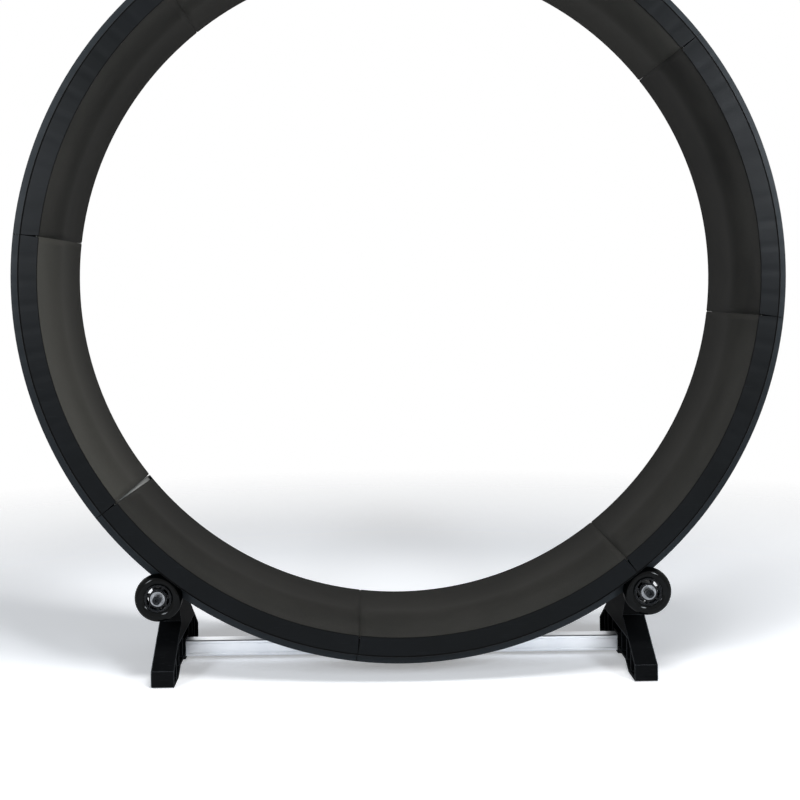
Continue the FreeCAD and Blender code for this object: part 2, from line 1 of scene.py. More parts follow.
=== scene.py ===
"""Looks of the cat exercise wheel, laid out as an add-on: one operator for each group of pieces.

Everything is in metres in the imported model's frame: X to the right, Y to the back, Z up.
"""
import json
import math

import bmesh
import bpy
from bpy.props import FloatProperty, FloatVectorProperty, IntProperty, PointerProperty
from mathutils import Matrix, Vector


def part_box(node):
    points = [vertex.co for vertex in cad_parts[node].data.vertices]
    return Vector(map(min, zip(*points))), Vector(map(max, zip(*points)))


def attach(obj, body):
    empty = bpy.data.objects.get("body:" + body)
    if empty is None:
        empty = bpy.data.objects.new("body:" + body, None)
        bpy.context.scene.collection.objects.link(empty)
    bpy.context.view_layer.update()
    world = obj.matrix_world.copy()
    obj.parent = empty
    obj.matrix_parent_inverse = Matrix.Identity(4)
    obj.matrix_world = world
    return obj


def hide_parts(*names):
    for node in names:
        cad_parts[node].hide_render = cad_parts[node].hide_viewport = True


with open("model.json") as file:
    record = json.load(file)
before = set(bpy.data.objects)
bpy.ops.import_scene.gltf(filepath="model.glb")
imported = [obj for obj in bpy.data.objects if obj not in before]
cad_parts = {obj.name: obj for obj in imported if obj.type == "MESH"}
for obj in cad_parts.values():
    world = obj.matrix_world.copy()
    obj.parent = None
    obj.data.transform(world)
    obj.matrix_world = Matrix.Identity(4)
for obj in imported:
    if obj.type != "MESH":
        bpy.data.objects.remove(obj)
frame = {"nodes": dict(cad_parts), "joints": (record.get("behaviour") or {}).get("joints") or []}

bl_info = {
    "name": "Cat Exercise Wheel Dressing",
    "version": (1, 0, 0),
    "blender": (4, 5, 0),
    "location": "View3D > Sidebar > Wheel",
    "description": "Finishes, running mats, roller tyres and studio for the packed exercise wheel",
    "category": "Object",
}

MM = 0.001
SEGMENTS = sorted(name for name in frame["nodes"] if name.startswith("rim_segment_"))
CORNERS = ("front_left", "front_right", "rear_left", "rear_right")
JOINTS = {joint["name"]: joint for joint in frame["joints"]}
AXIS = Vector(JOINTS["wheel_spin"]["pos_m"])
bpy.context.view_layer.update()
PALENESS = "paleness"
STRAIGHT_RAYS = ("Is Camera Ray", "Is Glossy Ray", "Is Transmission Ray")
SKY_COLOUR = "#eaf0f7"
FLOOR_COLOUR = "#f4f5f7"
# Places this close to a surface count as on it.
NEAR = 0.1 * MM
# The face above the chamfers at a segment's sides starts this far in.
CHAMFER_REACH = 4 * MM
# Softboxes: place, width and height in metres, and colour.
SOFTBOXES = {
    "overhead": ((0.3, -1.3, 2.3), 1.0, 0.6, "#ffffff"),
    "right": ((1.35, -2.1, 1.1), 0.35, 0.7, "#f2f8ff"),
    "left": ((-1.35, -2.0, 1.0), 0.35, 0.7, "#f2f8ff"),
    "back": ((-0.8, 2.4, 1.6), 0.8, 0.6, "#ffffff"),
}


class WheelProperties(bpy.types.PropertyGroup):
    """Finish of the moulded wheel segments."""

    grain_mm: FloatProperty(name="Grain", description="Size of the moulded grain in mm", default=0.7)
    grain_height: FloatProperty(
        name="Grain Height", description="Height of the moulded grain", default=0.02 * MM, unit="LENGTH")
    edge_round: FloatProperty(
        name="Edge Round", description="Radius that moulded edges catch light on", default=0.6 * MM,
        unit="LENGTH")
    sink_marks: IntProperty(
        name="Sink Marks", description="Faint marks round the rim, one over each inner rib", default=96)
    sink_depth: FloatProperty(
        name="Sink Depth", description="Depth of a sink mark", default=0.16 * MM, unit="LENGTH")
    seam_clearance: FloatProperty(
        name="Seam Clearance", description="Gap between two segments pushed home", default=0.06 * MM,
        unit="LENGTH")
    # The black line along each seam is painted shade.
    seam_shade: FloatProperty(
        name="Seam Shade", description="Half width of the painted shade line along a seam", default=0.5 * MM,
        unit="LENGTH")
    corner_cut: FloatProperty(
        name="Corner Cut", description="How far a segment's lip corners stay back from the seam",
        default=1.6 * MM, unit="LENGTH")


class MatProperties(bpy.types.PropertyGroup):
    """The foam running mats."""

    steps: IntProperty(name="Steps", description="Sections along each mat", default=40)
    edge_round: FloatProperty(
        name="Edge Round", description="Radius of the foam's cut edges", default=0.9 * MM, unit="LENGTH")
    backing: FloatProperty(
        name="Backing", description="Thickness of the adhesive backing", default=0.5 * MM, unit="LENGTH")
    skewed_mat: IntProperty(
        name="Skewed Mat", description="Mat whose end is cut askew, so that its backing shows", default=5)
    skew_gap: FloatProperty(
        name="Skew Gap", description="Width of the wedge at the back edge", default=8.5 * MM, unit="LENGTH")
    clearance: FloatProperty(
        name="Clearance", description="Gap between two mats", default=0.3 * MM, unit="LENGTH")
    # Each mat's paleness is partly a different foam sheet and partly painted light: palest on the left and
    # darkest at the upper right, as the light falls on the mats.
    paleness: FloatVectorProperty(
        name="Paleness", description="How pale each mat's foam is, from the darkest sheet to the palest",
        size=8, default=(0.4, 0.0, 0.18, 0.25, 0.2, 0.95, 0.2, 0.4))


class RollerProperties(bpy.types.PropertyGroup):
    """The cast tyres on the rollers."""

    steps: IntProperty(name="Steps", description="Sections round a tyre", default=96)
    widest_share: FloatProperty(
        name="Widest Place", description="Where the side is widest, from bore to tread", default=0.42,
        subtype="FACTOR")
    fullness: FloatProperty(
        name="Fullness", description="Power of the crown's curve, less is squarer", default=0.8)


class StageProperties(bpy.types.PropertyGroup):
    """Camera, floor and lights."""

    camera_x: FloatProperty(
        name="Camera X", description="Camera left of the wheel's middle", default=-54.4 * MM, unit="LENGTH")
    camera_distance: FloatProperty(
        name="Camera Distance", description="Camera to the wheel's front face", default=1979.6 * MM,
        unit="LENGTH")
    camera_height: FloatProperty(
        name="Camera Height", description="Camera above the floor", default=594.2 * MM, unit="LENGTH")
    focal_px: FloatProperty(
        name="Focal Length", description="Focal length in pixels of the square frame", default=1327.5)
    vanishing_x: FloatProperty(
        name="Vanishing X", description="Pixel straight ahead of the camera, from the left", default=362.6)
    vanishing_y: FloatProperty(
        name="Vanishing Y", description="Pixel straight ahead of the camera, from the top", default=288.3)
    frame_px: IntProperty(name="Frame", description="Side of the square frame in pixels", default=800)
    roll: FloatProperty(
        name="Roll", description="Camera roll to the right", default=math.radians(0.806), subtype="ANGLE")
    floor_radius: FloatProperty(
        name="Floor Radius", description="Radius where the floor has faded out", default=2.2, unit="LENGTH")
    floor_solid: FloatProperty(
        name="Floor Solid", description="Radius where the floor starts to fade", default=0.9, unit="LENGTH")
    floor_glow: FloatProperty(
        name="Floor Glow", description="White added where the floor is seen", default=0.28)
    sky_strength: FloatProperty(name="Sky", description="Strength of the sky as a light", default=0.27)
    overhead_watts: FloatProperty(
        name="Overhead", description="Power of the overhead softbox", default=40.0, unit="POWER")
    right_watts: FloatProperty(
        name="Right", description="Power of the right softbox", default=30.0, unit="POWER")
    left_watts: FloatProperty(
        name="Left", description="Power of the left softbox", default=25.0, unit="POWER")
    back_watts: FloatProperty(
        name="Back", description="Power of the back softbox", default=4.0, unit="POWER")


def srgb(code):
    """Linear colour with alpha from a hex code."""
    channels = [int(code[i:i + 2], 16) / 255 for i in (1, 3, 5)]
    return [c / 12.92 if c <= 0.04045 else ((c + 0.055) / 1.055) ** 2.4 for c in channels] + [1.0]


def per_mm(size_mm):
    """Texture scale at which one cell is this many millimetres."""
    return 1 / (size_mm * MM)


def plug(tree, node, inputs):
    """Give a node's inputs plain values or other nodes' outputs, by name or in their order."""
    named = inputs if isinstance(inputs, dict) else dict(enumerate(inputs))
    for name, value in named.items():
        if isinstance(value, bpy.types.NodeSocket):
            tree.links.new(value, node.inputs[name])
        else:
            node.inputs[name].default_value = value


def add(tree, kind, inputs=(), output=0, **settings):
    """Add a shader node with its settings and links, and return one of its outputs."""
    node = tree.nodes.new("ShaderNode" + kind)
    for name, value in settings.items():
        setattr(node, name, value)
    plug(tree, node, inputs)
    return node.outputs[output]


def new_material(name):
    """Material with its tree, its principled shader and the piece's own coordinates."""
    material = bpy.data.materials.new(name)
    material.use_nodes = True
    tree = material.node_tree
    return material, tree, tree.nodes["Principled BSDF"], add(tree, "TexCoord", output="Object")


def patches(tree, place, size_mm, low, high):
    """Soft patches about this wide, from a low to a high value."""
    cloud = add(tree, "TexNoise", {"Vector": place, "Scale": per_mm(size_mm), "Detail": 4.0})
    return add(tree, "MapRange", (cloud, 0.35, 0.65, low, high))


def grain(tree, place, size_mm, height, normal):
    """Fine moulded or sawn grain of this size and height over an edge-rounded normal."""
    cells = add(tree, "TexNoise", {"Vector": place, "Scale": per_mm(size_mm), "Detail": 2.0})
    return add(tree, "Bump", {"Height": cells, "Distance": height, "Normal": normal})


def scratches(tree, place, length_mm, width_mm, turn, amount):
    """Thin straight scratches one way across the surface, 0 to 1, most of it 0."""
    stretch = (per_mm(length_mm), per_mm(width_mm), per_mm(width_mm))
    laid = add(tree, "Mapping", {"Vector": place, "Rotation": turn, "Scale": stretch})
    lines = add(tree, "TexNoise", {"Vector": laid, "Scale": 1.0, "Detail": 1.0})
    faint, full = 0.74 - amount, 0.80 - amount
    return add(tree, "MapRange", (lines, faint, full, 0.0, 1.0))


def edge_highlight_and_wear(tree, width, strength):
    """Along sharp edges, over this width, 0 to the given strength: a painted highlight on the stands and the
    roller cores, and real wear on the bolts.
    """
    rounded = add(tree, "Bevel", (width,), samples=6)
    flat = add(tree, "NewGeometry", output="Normal")
    alike = add(tree, "VectorMath", (rounded, flat), "Value", operation="DOT_PRODUCT")
    off_edge, on_edge = 0.99, 0.88
    return add(tree, "MapRange", (alike, off_edge, on_edge, 0.0, strength))


def about_axle(tree, place):
    """Distance from the nearest roller's axle; one formula serves four rollers that mirror each other."""
    axle = JOINTS["roller_spin_front_right"]["pos_m"]
    mirrored = add(tree, "VectorMath", (place,), operation="ABSOLUTE")
    apart = add(tree, "VectorMath", (mirrored, (axle[0], 0, axle[2])), operation="SUBTRACT")
    flat = add(tree, "VectorMath", (apart, (1, 0, 1)), operation="MULTIPLY")
    return add(tree, "VectorMath", (flat,), "Value", operation="LENGTH")


def round_wheel(tree, place):
    """Turn about the axle from the top, and distance from the axle line."""
    centred = add(tree, "VectorMath", (place, AXIS), operation="SUBTRACT")
    flat = add(tree, "VectorMath", (centred, (1, 0, 1)), operation="MULTIPLY")
    across, up = add(tree, "SeparateXYZ", (flat,), "X"), add(tree, "SeparateXYZ", (flat,), "Z")
    turn = add(tree, "Math", (across, up), operation="ARCTAN2")
    return turn, add(tree, "VectorMath", (flat,), "Value", operation="LENGTH")


def off_marks(tree, turn, count, first):
    """Angle to the nearest of so many even marks round the wheel, the first at a given turn."""
    shifted = add(tree, "Math", (turn, first - math.pi / count), operation="SUBTRACT")
    share = add(tree, "Math", (shifted, count / (2 * math.pi)), operation="MULTIPLY")
    past = add(tree, "Math", (add(tree, "Math", (share,), operation="FRACT"), 0.5), operation="SUBTRACT")
    near = add(tree, "Math", (past,), operation="ABSOLUTE")
    return add(tree, "Math", (near, 2 * math.pi / count), operation="MULTIPLY")


def band(tree, value, low, high, soft):
    """1 between two values and 0 outside, over a soft edge."""
    middle = add(tree, "Math", (value, (low + high) / 2), operation="SUBTRACT")
    off = add(tree, "Math", (middle,), operation="ABSOLUTE")
    half = (high - low) / 2
    return add(tree, "MapRange", (off, half, half + soft, 1.0, 0.0))


def rim_painted_shade(tree, turn, radius, settings):
    """Painted shade: 1 in the seams, on the chamfers below the tracks and on the lips beside the mats, else
    0.
    """
    track, lip = track_radius(), arc_of("running_mat_1")[0]
    nearest_seam = off_marks(tree, turn, len(SEGMENTS), first_seam())
    seam = add(tree, "Math", (nearest_seam, radius), operation="MULTIPLY")
    in_seam = band(tree, seam, -settings.seam_shade, settings.seam_shade, 0.3 * MM)
    on_chamfer = band(tree, radius, track - 3 * MM, track - 0.6 * MM, 0.4 * MM)
    on_lip = band(tree, radius, 0.0, lip + 0.2 * MM, 0.4 * MM)
    on_edge = add(tree, "Math", (on_lip, on_chamfer), operation="MAXIMUM")
    return add(tree, "Math", (in_seam, on_edge), operation="MAXIMUM")


def rib_sinks(tree, turn, count):
    """Height of a face that has sunk a little over each inner rib, 0 over a rib and 1 beside it."""
    over_rib = off_marks(tree, turn, count, 0.0)
    reach = 0.6 * math.pi / count
    return add(tree, "MapRange", (over_rib, 0.0, reach, 0.0, 1.0), interpolation_type="SMOOTHSTEP")


def moulded_rim(settings):
    """Satin injection-moulded plastic, bluish black; the eye gets a fine grain and faint sink marks.

    The guide flanges are painted paler, as painted light that lifts them out of their shade; the seams, the
    chamfers below the tracks and the lips beside the mats are painted black, as painted shade.
    The grain is drawn a few times coarser than the real one, so that it shows. The specular level is
    low, because the white all round would otherwise grey the black.
    """
    material, tree, shader, place = new_material("rim_moulding_satin")
    turn, radius = round_wheel(tree, place)
    plain = add(tree, "MixRGB", (patches(tree, place, 140, 0, 1), srgb("#0d0f11"), srgb("#0a0c0d")))
    track = track_radius()
    # Painted light: the flange band is painted paler than the face.
    flange_painted_light = band(tree, radius, track + 0.6 * MM, track + 40 * MM, 1.0 * MM)
    with_flange_painted_light = add(tree, "MixRGB", (flange_painted_light, plain, srgb("#262a2d")))
    scuffs = scratches(tree, place, 60, 0.5, (0.3, 0.9, 0.2), 0.02)
    rubbed = add(tree, "Math", (scuffs, 0.25), operation="MULTIPLY")
    scuffed = add(tree, "MixRGB", (rubbed, with_flange_painted_light, srgb("#3c4046")))
    # Painted shade: the seams, the chamfers and the lips beside the mats are painted black.
    painted_shade = rim_painted_shade(tree, turn, radius, settings)
    colour = add(tree, "MixRGB", (painted_shade, scuffed, srgb("#020202")))
    gloss = add(tree, "Math", (patches(tree, place, 45, 0.31, 0.38), rubbed), operation="ADD")
    dulled = add(tree, "Math", (gloss, painted_shade), operation="MAXIMUM")
    sink = rib_sinks(tree, turn, settings.sink_marks)
    edges = add(tree, "Bevel", (settings.edge_round,), samples=6)
    sunk = add(tree, "Bump", {"Height": sink, "Distance": settings.sink_depth, "Normal": edges})
    plug(tree, shader, {
        "Base Color": colour, "Roughness": dulled, "Specular IOR Level": 0.07,
        "Normal": grain(tree, place, settings.grain_mm, settings.grain_height, sunk)})
    return material


def stand_moulding():
    """Black moulded nylon of the stands; the eye gets a low gloss, scuffs, and pale arrises that are painted
    highlights.

    The painted highlights lie where a rounded arris turns from a front or top face to a side face, and along
    the sharp edges. The sheen is a weak coat instead of the specular level, so that faces seen at a grazing
    angle stay black. The scuffs and the grain are drawn coarser than the real ones, so that they show.
    """
    material, tree, shader, place = new_material("stand_moulding_black")
    plain = add(tree, "MixRGB", (patches(tree, place, 50, 0, 1), srgb("#0d0e0f"), srgb("#090a0b")))
    scuffs = scratches(tree, place, 18, 0.25, (0.5, 0.2, 1.1), 0.03)
    rubbed = add(tree, "Math", (scuffs, 0.12), operation="MULTIPLY")
    # Painted highlight: pale lines where the surface turns to the side, and along sharp edges.
    sideways = add(tree, "SeparateXYZ", (add(tree, "TexCoord", output="Normal"),), "X")
    turning = add(tree, "Math", (sideways,), operation="ABSOLUTE")
    on_arris = band(tree, turning, 0.5, 0.78, 0.1)
    arris = add(tree, "Math", (on_arris, patches(tree, place, 20, 0.45, 0.9)), operation="MULTIPLY")
    painted_edge_highlight = add(tree, "Math", (arris, edge_highlight_and_wear(tree, 1.2 * MM, 0.3)), operation="MAXIMUM")
    highlight_and_scuffs = add(tree, "Math", (painted_edge_highlight, rubbed), operation="MAXIMUM")
    gloss = add(tree, "Math", (patches(tree, place, 16, 0.34, 0.44), rubbed), operation="ADD")
    edges = add(tree, "Bevel", (0.6 * MM,), samples=6)
    plug(tree, shader, {
        "Base Color": add(tree, "MixRGB", (highlight_and_scuffs, plain, srgb("#74787c"))), "Roughness": gloss,
        "Specular IOR Level": 0.0, "Coat Weight": 0.05, "Coat Roughness": 0.32,
        "Normal": grain(tree, place, 0.5, 0.012 * MM, edges)})
    return material


def mat_foam():
    """Closed-cell foam with a matte skin; the eye gets fine cells, a warm charcoal and light scuffing.

    The cells and the pores are drawn coarser than the real ones, so that they show.
    """
    material, tree, shader, place = new_material("running_mat_foam")
    cells = add(tree, "TexNoise", {"Vector": place, "Scale": per_mm(1.1), "Detail": 3.0, "Roughness": 0.6})
    # The per-mat paleness is partly the foam sheet and partly painted light on each mat.
    sheet = add(tree, "Attribute", output="Fac", attribute_name=PALENESS)
    sheet_tone_and_painted_light = add(tree, "MixRGB", (sheet, srgb("#131312"), srgb("#373632")))
    broad = add(tree, "Math", (patches(tree, place, 120, 0, 1), 0.12), operation="MULTIPLY")
    plain = add(tree, "MixRGB", (broad, sheet_tone_and_painted_light, srgb("#4a4844")))
    specks = add(tree, "MapRange", (cells, 0.35, 0.7, 0.0, 0.12))
    speckled = add(tree, "MixRGB", (specks, plain, srgb("#5c5a55")))
    scuffs = scratches(tree, place, 25, 0.8, (0.0, 0.4, 0.2), 0.05)
    rubbed = add(tree, "Math", (scuffs, 0.12), operation="MULTIPLY")
    pores = add(tree, "TexVoronoi", {"Vector": place, "Scale": per_mm(1.6)})
    pits = add(tree, "MapRange", (pores, 0.0, 0.5, 0.0, 1.0))
    pitted = add(tree, "Bump", {"Height": pits, "Distance": 0.05 * MM})
    plug(tree, shader, {
        "Base Color": add(tree, "MixRGB", (rubbed, speckled, srgb("#585754"))),
        "Roughness": add(tree, "MapRange", (cells, 0.3, 0.7, 0.78, 0.92)),
        "Specular IOR Level": 0.05,
        "Normal": add(tree, "Bump", {"Height": cells, "Distance": 0.06 * MM, "Normal": pitted})})
    return material


def mat_backing():
    """Grey adhesive film under the foam; the eye gets a dull paper-like band where the foam stops."""
    material, tree, shader, place = new_material("mat_adhesive_film")
    fibres = patches(tree, place, 2.5, 0, 1)
    plug(tree, shader, {
        "Base Color": add(tree, "MixRGB", (fibres, srgb("#8c8d8a"), srgb("#a2a3a0"))),
        "Roughness": add(tree, "MapRange", (fibres, 0.0, 1.0, 0.5, 0.7)),
        "Normal": add(tree, "Bump", {"Height": fibres, "Distance": 0.05 * MM})})
    return material


def cast_tyre():
    """Cast polyurethane, deep black and glossy; the eye gets clear highlights and a little dust."""
    material, tree, shader, place = new_material("tyre_cast_urethane")
    dust = patches(tree, place, 6, 0.0, 0.3)
    swirls = scratches(tree, place, 8, 0.15, (1.2, 0.3, 0.7), 0.02)
    hazed = add(tree, "Math", (swirls, 0.12), operation="MULTIPLY")
    dulled = add(tree, "MapRange", (dust, 0.0, 0.3, 0.09, 0.18))
    ripple = add(tree, "TexNoise", {"Vector": place, "Scale": per_mm(3), "Detail": 3.0})
    plug(tree, shader, {
        "Base Color": add(tree, "MixRGB", (dust, srgb("#030404"), srgb("#0e0f10"))),
        "Roughness": add(tree, "Math", (dulled, hazed), operation="ADD"),
        "Specular IOR Level": 0.0, "Coat Weight": 0.2, "Coat Roughness": 0.06,
        "Normal": add(tree, "Bump", {"Height": ripple, "Distance": 0.02 * MM})})
    return material


def gloss_core(settings):
    """Gloss-moulded nylon of the roller's core; the eye gets spoke edges painted pale as a painted highlight,
    and a slight ripple.
    """
    material, tree, shader, place = new_material("roller_core_gloss")
    ripple = patches(tree, place, 5, 0, 1)
    edges = add(tree, "Bevel", (settings.edge_round,), samples=6)
    # Painted highlight: the spoke edges are painted pale.
    plug(tree, shader, {
        "Base Color": add(tree, "MixRGB", (edge_highlight_and_wear(tree, 0.4 * MM, 0.8), srgb("#060607"), srgb("#5a5f64"))),
        "Roughness": add(tree, "MapRange", (ripple, 0.0, 1.0, 0.12, 0.22)),
        "Specular IOR Level": 0.0, "Coat Weight": 0.25, "Coat Roughness": 0.12,
        "Normal": add(tree, "Bump", {"Height": ripple, "Distance": 0.03 * MM, "Normal": edges})})
    return material


def turned_steel(name, bright, stained, roughness, ring_mm):
    """Turned or ground steel; the eye gets fine tool rings about the axle and small stains.

    The rings are drawn coarser than the real ones, so that they show.
    """
    material, tree, shader, place = new_material(name)
    stains = patches(tree, place, 7, 0, 1)
    rings = add(tree, "TexNoise", {"W": about_axle(tree, place), "Scale": per_mm(ring_mm), "Detail": 1.0},
                noise_dimensions="1D")
    edges = add(tree, "Bevel", (0.25 * MM,), samples=6)
    plug(tree, shader, {
        "Base Color": add(tree, "MixRGB", (stains, srgb(bright), srgb(stained))),
        "Metallic": 1.0,
        "Roughness": add(tree, "MapRange", (stains, 0.0, 1.0, roughness, roughness + 0.15)),
        "Normal": add(tree, "Bump", {"Height": rings, "Distance": 0.008 * MM, "Normal": edges})})
    return material


def blackened_steel():
    """Black-oxide steel of the axle bolts; the eye gets a dark oily sheen, bare metal at the rims."""
    material, tree, shader, place = new_material("bolt_black_oxide")
    spots = patches(tree, place, 2, 0.0, 0.25)
    bare = add(tree, "Math", (edge_highlight_and_wear(tree, 0.4 * MM, 0.6), spots), operation="MAXIMUM")
    edges = add(tree, "Bevel", (0.3 * MM,), samples=6)
    plug(tree, shader, {
        "Base Color": add(tree, "MixRGB", (bare, srgb("#101112"), srgb("#5c5f63"))),
        "Metallic": 1.0,
        "Roughness": add(tree, "MapRange", (spots, 0.0, 0.25, 0.32, 0.5)),
        "Normal": grain(tree, place, 0.4, 0.01 * MM, edges)})
    return material


def anodised_bar():
    """Satin anodised aluminium extrusion; the eye gets long fine die lines and a cool pale sheen.

    The die lines are drawn coarser than the real ones, so that they show.
    """
    material, tree, shader, place = new_material("bar_anodised_aluminium")
    stretch = (per_mm(400), per_mm(0.35), per_mm(0.35))
    laid = add(tree, "Mapping", {"Vector": place, "Scale": stretch})
    lines = add(tree, "TexNoise", {"Vector": laid, "Scale": 1.0, "Detail": 3.0})
    tone = add(tree, "MixRGB", (patches(tree, place, 60, 0, 1), srgb("#f1f4f8"), srgb("#e6eaf0")))
    scuffs = add(tree, "Math", (scratches(tree, place, 14, 0.2, (0.2, 0.5, 0.9), 0.02), 0.4),
                 operation="MULTIPLY")
    edges = add(tree, "Bevel", (0.9 * MM,), samples=6)
    plug(tree, shader, {
        "Base Color": add(tree, "MixRGB", (scuffs, tone, srgb("#b9bec6"))),
        "Metallic": 1.0,
        "Roughness": add(tree, "MapRange", (lines, 0.3, 0.7, 0.30, 0.42)),
        "Normal": add(tree, "Bump", {"Height": lines, "Distance": 0.01 * MM, "Normal": edges})})
    return material


def foot_rubber():
    """Moulded rubber of the foot pads; the eye gets a dead matte black with a dusty bloom."""
    material, tree, shader, place = new_material("foot_pad_rubber")
    bloom = patches(tree, place, 8, 0.0, 0.5)
    pebbles = add(tree, "TexNoise", {"Vector": place, "Scale": per_mm(0.8), "Detail": 3.0})
    plug(tree, shader, {
        "Base Color": add(tree, "MixRGB", (bloom, srgb("#161616"), srgb("#2c2b2a"))),
        "Roughness": 0.85, "Specular IOR Level": 0.2,
        "Normal": add(tree, "Bump", {"Height": pebbles, "Distance": 0.04 * MM})})
    return material


def cover(node_names, material):
    """Give CAD nodes one material."""
    for name in node_names:
        mesh = frame["nodes"][name].data
        mesh.materials.clear()
        mesh.materials.append(material)


def new_piece(name, mesh_tool, materials):
    """Turn a bmesh into a smooth-shaded object with its materials."""
    mesh = bpy.data.meshes.new(name)
    mesh_tool.normal_update()
    mesh_tool.to_mesh(mesh)
    mesh_tool.free()
    for face in mesh.polygons:
        face.use_smooth = True
    for material in materials:
        mesh.materials.append(material)
    piece = bpy.data.objects.new(name, mesh)
    bpy.context.scene.collection.objects.link(piece)
    return piece


def arc_of(node):
    """Inner radius, outer radius, half width, and first and last turn about +Y of a wheel piece."""
    points = [vertex.co - AXIS for vertex in frame["nodes"][node].data.vertices]
    radii = [math.hypot(point.x, point.z) for point in points]
    middle = sum(points, Vector()) / len(points)
    facing = math.atan2(middle.x, middle.z)
    turns = [math.remainder(math.atan2(point.x, point.z) - facing, 2 * math.pi) for point in points]
    half_width = max(point.y for point in points)
    return min(radii), max(radii), half_width, facing + min(turns), facing + max(turns)


def first_seam():
    """Turn of the seam between the last mat and the first."""
    start = arc_of("running_mat_1")[3]
    stop = arc_of("running_mat_%d" % len(SEGMENTS))[4]
    return start - math.remainder(start - stop, 2 * math.pi) / 2


def track_radius():
    """Radius that the rollers run on, at the sides of the wheel."""
    points = [vertex.co - AXIS for vertex in frame["nodes"][SEGMENTS[0]].data.vertices]
    side = max(point.y for point in points)
    return max(math.hypot(point.x, point.z) for point in points if point.y > side - CHAMFER_REACH)


def on_wheel(radius, turn, across):
    """Point at a radius and a turn about +Y from the top of the wheel."""
    return AXIS + Vector((radius * math.sin(turn), across, radius * math.cos(turn)))


def bent_slab(bm, low, high, half_width, first, last, steps, slot, skew=0.0):
    """Closed slab bent round the axle line; skew shortens its last end towards +Y."""
    corners = ((-half_width, low), (half_width, low), (half_width, high), (-half_width, high))
    rows = []
    for i in range(steps + 1):
        row = []
        for across, radius in corners:
            end = last - skew * (across + half_width) / (2 * half_width)
            turn = first + (end - first) * i / steps
            row.append(bm.verts.new(on_wheel(radius, turn, across)))
        rows.append(row)
    faces = [bm.faces.new(rows[0]), bm.faces.new(rows[-1][::-1])]
    for here, there in zip(rows, rows[1:]):
        for i in range(4):
            j = (i + 1) % 4
            faces.append(bm.faces.new((here[j], here[i], there[i], there[j])))
    for face in faces:
        face.material_index = slot


def lathe(bm, centre, section, steps):
    """Turn a closed section of (across, radius) pairs about the Y line through a centre."""
    rows = []
    for i in range(steps):
        turn = 2 * math.pi * i / steps
        rows.append([
            bm.verts.new(centre + Vector((r * math.sin(turn), y, r * math.cos(turn)))) for y, r in section
        ])
    for here, there in zip(rows, rows[1:] + rows[:1]):
        for i in range(len(section)):
            j = (i + 1) % len(section)
            bm.faces.new((here[i], here[j], there[j], there[i]))


class DressWheel(bpy.types.Operator):
    """Push the eight rim segments home at their seams and give them their moulded finish"""

    bl_idname = "cat_wheel.dress_wheel"
    bl_label = "Dress Wheel"

    def execute(self, context):
        settings = context.scene.wheel_finish
        material = moulded_rim(settings)
        for number in range(1, len(SEGMENTS) + 1):
            node = "rim_segment_%d" % number
            bm = bmesh.new()
            bm.from_mesh(frame["nodes"][node].data)
            self.push_home(bm, number, settings)
            segment = new_piece("moulded_segment_%d" % number, bm, [material])
            segment.data.shade_smooth()
            segment.modifiers.new("flat_faces", "WEIGHTED_NORMAL")
            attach(segment, "wheel")
            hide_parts(node)
        return {"FINISHED"}

    def push_home(self, bm, number, settings):
        """Move the end faces out to the neighbours' and keep the panel's lip corners back."""
        lip, panel, _, first, last = arc_of("running_mat_%d" % number)
        middle, half = (first + last) / 2, (last - first) / 2
        reach = math.pi / len(SEGMENTS) - settings.seam_clearance / 2 / lip
        for vertex in bm.verts:
            spoke = vertex.co - AXIS
            radius = math.hypot(spoke.x, spoke.z)
            turn = math.remainder(math.atan2(spoke.x, spoke.z) - middle, 2 * math.pi)
            if abs(abs(turn) - half) * radius > NEAR / 2:
                continue
            back = settings.corner_cut / radius if radius < panel + NEAR else 0.0
            vertex.co = on_wheel(radius, middle + math.copysign(reach - back, turn), spoke.y)


class LayMats(bpy.types.Operator):
    """Lay a foam running mat with its adhesive film in each segment"""

    bl_idname = "cat_wheel.lay_mats"
    bl_label = "Lay Mats"

    def execute(self, context):
        settings = context.scene.wheel_mats
        materials = [mat_foam(), mat_backing()]
        for number in range(1, len(SEGMENTS) + 1):
            node = "running_mat_%d" % number
            skew_gap = settings.skew_gap if number == settings.skewed_mat else 0.0
            mat = new_piece("foam_mat_%d" % number, self.sheet(node, skew_gap, settings), materials)
            paleness = mat.data.attributes.new(PALENESS, "FLOAT", "POINT")
            paleness.data.foreach_set("value", [settings.paleness[number - 1]] * len(mat.data.vertices))
            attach(mat, "wheel")
            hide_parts(node)
        return {"FINISHED"}

    def sheet(self, node, skew_gap, settings):
        """Foam with rounded cut edges over its film, long enough to meet the neighbours."""
        foam, film = range(2)
        sharp = math.radians(40)
        inner, outer, half_width, first, last = arc_of(node)
        parting = outer - settings.backing
        home = (2 * math.pi / len(SEGMENTS) - (last - first) - settings.clearance / inner) / 2
        first, last = first - home, last + home
        bm = bmesh.new()
        bent_slab(bm, inner, parting, half_width, first, last, settings.steps, foam, skew_gap / inner)
        cut_edges = [edge for edge in bm.edges if edge.calc_face_angle(0) > sharp]
        bmesh.ops.bevel(bm, geom=cut_edges, offset=settings.edge_round, segments=3, profile=0.5,
                        affect="EDGES")
        bent_slab(bm, parting, outer, half_width, first, last, settings.steps, film)
        return bm


